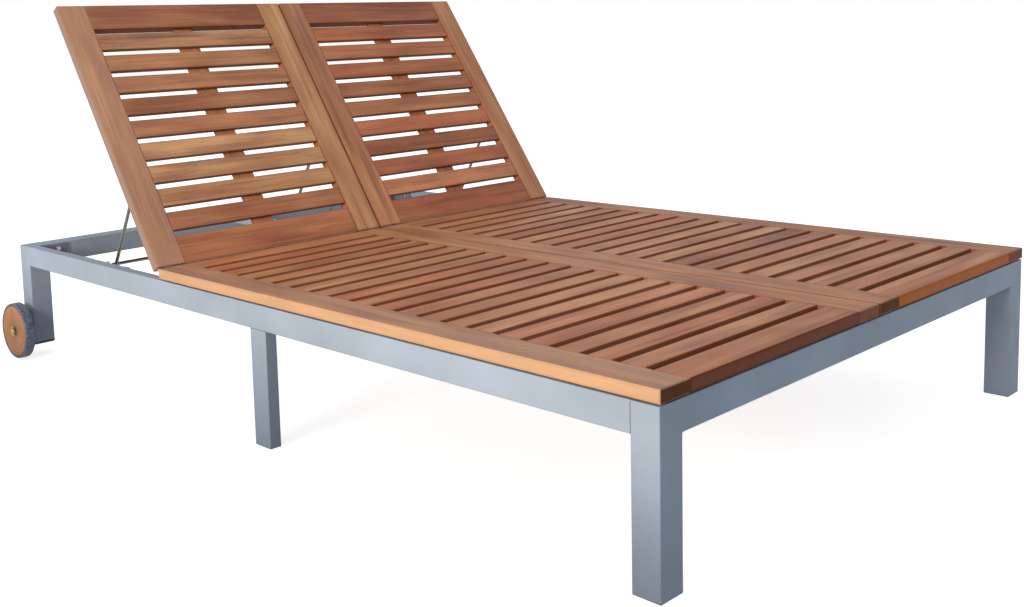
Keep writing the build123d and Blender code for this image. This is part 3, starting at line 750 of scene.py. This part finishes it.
class LOUNGER_OT_tube_frame(bpy.types.Operator):
    """Finishes the rails, legs, racks and corner plates in satin powder coat"""
    bl_idname = "lounger.tube_frame"
    bl_label = "Tube frame"

    def execute(self, context):
        for node in ("foot_rail", "head_rail", "centre_rail", "cross_rails", "side_racks",
                     "centre_racks"):
            finish_node(node, COATED_TUBE)
        for name, _ in SIDES:
            for part in ("side_rail", "foot_leg", "mid_leg", "head_leg"):
                finish_node(f"{name}_{part}", COATED_TUBE)
        # the corner plates get a darker coat: painted shade
        finish_node("corner_plates", SHADED_COATED_PLATE)
        return {"FINISHED"}


class LOUNGER_OT_fixings(bpy.types.Operator):
    """Finishes bolts, screws, hinges, straps, caps and pads"""
    bl_idname = "lounger.fixings"
    bl_label = "Fixings"

    def execute(self, context):
        for node in ("plate_bolts", "seat_screws", "seat_hinge_leaves", "hinge_pins",
                     "axle_nuts", "left_back_hinge_leaves", "right_back_hinge_leaves",
                     "left_prop_straps", "right_prop_straps"):
            finish_node(node, ZINC)
        for node in ("leg_caps", "panel_pads", "wheel_spacers"):
            finish_node(node, PLASTIC)
        finish_node("axle_bolts", BRASS)
        return {"FINISHED"}


class LOUNGER_OT_props(bpy.types.Operator):
    """Finishes the bent rods that prop up the backrests"""
    bl_idname = "lounger.props"
    bl_label = "Backrest props"

    def execute(self, context):
        for name, _ in SIDES:
            for part in ("prop_arms", "prop_bar"):
                finish_node(f"{name}_{part}", DRAWN_STEEL)
        return {"FINISHED"}


class LOUNGER_OT_wheels(bpy.types.Operator):
    """Builds the turned wooden discs and the tyres"""
    bl_idname = "lounger.wheels"
    bl_label = "Wheels"

    def execute(self, context):
        for name, side in SIDES:
            node = f"{name}_tyre"
            low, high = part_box(node)
            middle = (low + high) / 2
            radius = (high[2] - low[2]) / 2
            disc_low, disc_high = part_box(f"{name}_wheel_disc")
            disc_radius = (disc_high[2] - disc_low[2]) / 2
            bore = disc_radius + TYRE_GAP
            profile = [(along, bore + outward) for along, outward in TYRE_LIP]
            profile += [(TREAD_ROUND - TREAD_ROUND * math.cos(math.radians(angle)),
                         radius - TREAD_ROUND + TREAD_ROUND * math.sin(math.radians(angle)))
                        for angle in range(0, 91, 15)]
            inner_face = low[0] if side > 0 else high[0]
            piece = lathe(f"{node}_ring", profile, high[0] - low[0],
                          Vector((inner_face, middle[1], middle[2])), side)
            piece.data.materials.append(material_named(RUBBER))
            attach(piece, f"{name}_wheel")
            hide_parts(node)

            node = f"{name}_wheel_disc"
            profile = [(0.0, AXLE_HOLE)]
            profile += [(along, disc_radius - inward) for along, inward in DISC_RIM]
            inner_face = disc_low[0] if side > 0 else disc_high[0]
            piece = lathe(f"{node}_turned", profile, disc_high[0] - disc_low[0],
                          Vector((inner_face, middle[1], middle[2])), side)
            # the eased rim beside the tyre takes the dark end grain: painted shade in the crevice
            piece.data.materials.append(material_named(TURNED))
            piece.data.materials.append(material_named(DARK_END))
            for face in piece.data.polygons:
                distance = math.hypot(face.center.y - middle[1], face.center.z - middle[2])
                if distance > disc_radius - DISC_SHADE_BAND:
                    face.material_index = 1
            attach(piece, f"{name}_wheel")
            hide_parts(node)
        return {"FINISHED"}


class LOUNGER_OT_stage(bpy.types.Operator):
    """Lays the pale floor and sets the soft lights and the camera"""
    bl_idname = "lounger.stage"
    bl_label = "Floor, lights and camera"

    def execute(self, context):
        scene = context.scene
        # colours are shown as they are, without a film curve, so that white paper stays white
        scene.view_settings.view_transform = "Standard"
        self.lay_floor()
        self.light_studio(scene)
        self.light_window()
        self.place_camera(scene)
        return {"FINISHED"}

    def lay_floor(self):
        """White paper under the lounger, and a flag that shades the legs' lower ends."""
        # matt white paper: pale grey, and lit from within so that it nearly fades to white
        paper, tree = new_material("white paper sweep")
        shader = add_node(tree, "ShaderNodeBsdfPrincipled",
                          {"Base Color": linear("DADADA"), "Roughness": 0.9,
                           "Specular IOR Level": 0.1, "Emission Color": linear("FFFFFF"),
                           "Emission Strength": 0.72})
        add_node(tree, "ShaderNodeOutputMaterial", {"Surface": shader.outputs[0]})
        floor = sheet_object("floor", [(-FLOOR_REACH, -FLOOR_REACH, 0),
                                       (FLOOR_REACH, -FLOOR_REACH, 0),
                                       (FLOOR_REACH, FLOOR_REACH, 0),
                                       (-FLOOR_REACH, FLOOR_REACH, 0)])
        floor.visible_diffuse = False
        floor.data.materials.append(paper)

        # the flag keeps the window's light off the legs, and only its shadow shows
        flag = sheet_object("flag", [(FLAG_X, -FLAG_REACH, FLAG_LOW),
                                     (FLAG_X, FLAG_REACH, FLAG_LOW),
                                     (FLAG_X, FLAG_REACH, FLAG_TOP),
                                     (FLAG_X, -FLAG_REACH, FLAG_TOP)])
        flag.visible_camera = False
        flag.visible_diffuse = False
        flag.visible_glossy = False
        flag.data.materials.append(paper)

    def light_studio(self, scene):
        """Soft light from all round, over a background that the camera sees as white."""
        world = bpy.data.worlds.new("studio")
        world.use_nodes = True
        tree = world.node_tree
        tree.nodes.clear()
        direction = add_node(tree, "ShaderNodeTexCoord").outputs["Generated"]
        # the studio is pale on the lounger's left and towards its head, and darker in front
        towards = add_node(tree, "ShaderNodeVectorMath",
                           {0: direction, 1: Vector(BRIGHT_SIDE).normalized()},
                           operation="DOT_PRODUCT")
        share = add_node(tree, "ShaderNodeMapRange", {"Value": towards.outputs["Value"],
                                                      "From Min": -1.0, "From Max": 1.0})
        sky = add_node(tree, "ShaderNodeValToRGB", {"Fac": share.outputs[0]})
        set_ramp(sky, ((0.1, "909EAC"), (0.5, "C8D2DC"), (0.95, "E8EDF2")))
        # less light comes from below, because the lounger shades its own floor
        height = add_node(tree, "ShaderNodeSeparateXYZ", {"Vector": direction}).outputs["Z"]
        below = add_node(tree, "ShaderNodeMapRange",
                         {"Value": height, "From Min": -0.6, "From Max": 0.1,
                          "To Min": 0.45, "To Max": 1.0})
        dimmed = add_node(tree, "ShaderNodeVectorMath",
                          {0: sky.outputs[0], "Scale": below.outputs[0]}, operation="SCALE")
        seen = add_node(tree, "ShaderNodeLightPath").outputs["Is Camera Ray"]
        shown = add_node(tree, "ShaderNodeMix", {"Factor": seen, "A": dimmed.outputs[0],
                                                 "B": linear("FFFFFF")}, data_type="RGBA")
        background = add_node(tree, "ShaderNodeBackground", {"Color": shown.outputs["Result"],
                                                             "Strength": 1.0})
        add_node(tree, "ShaderNodeOutputWorld", {"Surface": background.outputs[0]})
        scene.world = world

    def light_window(self):
        """Warm light from a window on the lounger's left."""
        light = bpy.data.lights.new("window_left", "AREA")
        light.color = linear("FFF0DE")[:3]
        light.shape = "RECTANGLE"
        light.size, light.size_y = WINDOW_SIZE
        light.energy = WINDOW_WATTS
        lamp = new_object("window_left", light)
        lamp.location = WINDOW_PLACE
        aim = Vector(WINDOW_TARGET) - Vector(WINDOW_PLACE)
        lamp.rotation_euler = aim.to_track_quat("-Z", "Y").to_euler()

    def place_camera(self, scene):
        """The camera that was fitted to the photograph."""
        azimuth, elevation, roll = (math.radians(value) for value in
                                    (CAMERA_AZIMUTH, CAMERA_ELEVATION, CAMERA_ROLL))
        ahead = Vector((-math.sin(azimuth) * math.cos(elevation),
                        math.cos(azimuth) * math.cos(elevation), -math.sin(elevation)))
        right = ahead.cross(Vector((0, 0, 1))).normalized()
        up = right.cross(ahead)
        turned_right = math.cos(roll) * right + math.sin(roll) * up
        turned_up = -math.sin(roll) * right + math.cos(roll) * up
        width, height = PICTURE_SIZE
        data = bpy.data.cameras.new("camera")
        data.sensor_width = SENSOR_WIDTH
        data.lens = FOCAL_LENGTH / width * SENSOR_WIDTH
        data.shift_x = (width / 2 - OPTICAL_CENTRE[0]) / width
        data.shift_y = (OPTICAL_CENTRE[1] - height / 2) / width
        data.clip_end = CAMERA_REACH
        camera = new_object("camera", data)
        basis = Matrix((turned_right, turned_up, -ahead)).transposed().to_4x4()
        camera.matrix_world = Matrix.Translation(CAMERA_PLACE) @ basis
        scene.camera = camera


class LOUNGER_PT_panel(bpy.types.Panel):
    """Lists the lounger's steps, sizes and colours"""
    bl_idname = "LOUNGER_PT_panel"
    bl_label = "Lounger"
    bl_space_type = "VIEW_3D"
    bl_region_type = "UI"
    bl_category = "Lounger"

    def draw(self, context):
        layout = self.layout
        for settings in (context.scene.lounger_boards, context.scene.lounger_colours):
            box = layout.box()
            for name in settings.bl_rna.properties.keys():
                if name not in ("rna_type", "name"):
                    box.prop(settings, name)
        for operator in OPERATORS:
            layout.operator(operator.bl_idname)


OPERATORS = (LOUNGER_OT_seats, LOUNGER_OT_backrests, LOUNGER_OT_tube_frame, LOUNGER_OT_fixings,
             LOUNGER_OT_props, LOUNGER_OT_wheels, LOUNGER_OT_stage)
CLASSES = (LoungerBoards, LoungerColours) + OPERATORS + (LOUNGER_PT_panel,)


def register():
    for item in CLASSES:
        bpy.utils.register_class(item)
    bpy.types.Scene.lounger_boards = bpy.props.PointerProperty(type=LoungerBoards)
    bpy.types.Scene.lounger_colours = bpy.props.PointerProperty(type=LoungerColours)


def unregister():
    del bpy.types.Scene.lounger_colours
    del bpy.types.Scene.lounger_boards
    for item in reversed(CLASSES):
        bpy.utils.unregister_class(item)


def main():
    register()
    bpy.ops.lounger.seats()
    bpy.ops.lounger.backrests()
    bpy.ops.lounger.tube_frame()
    bpy.ops.lounger.fixings()
    bpy.ops.lounger.props()
    bpy.ops.lounger.wheels()
    bpy.ops.lounger.stage()


if __name__ == "__main__":
    main()
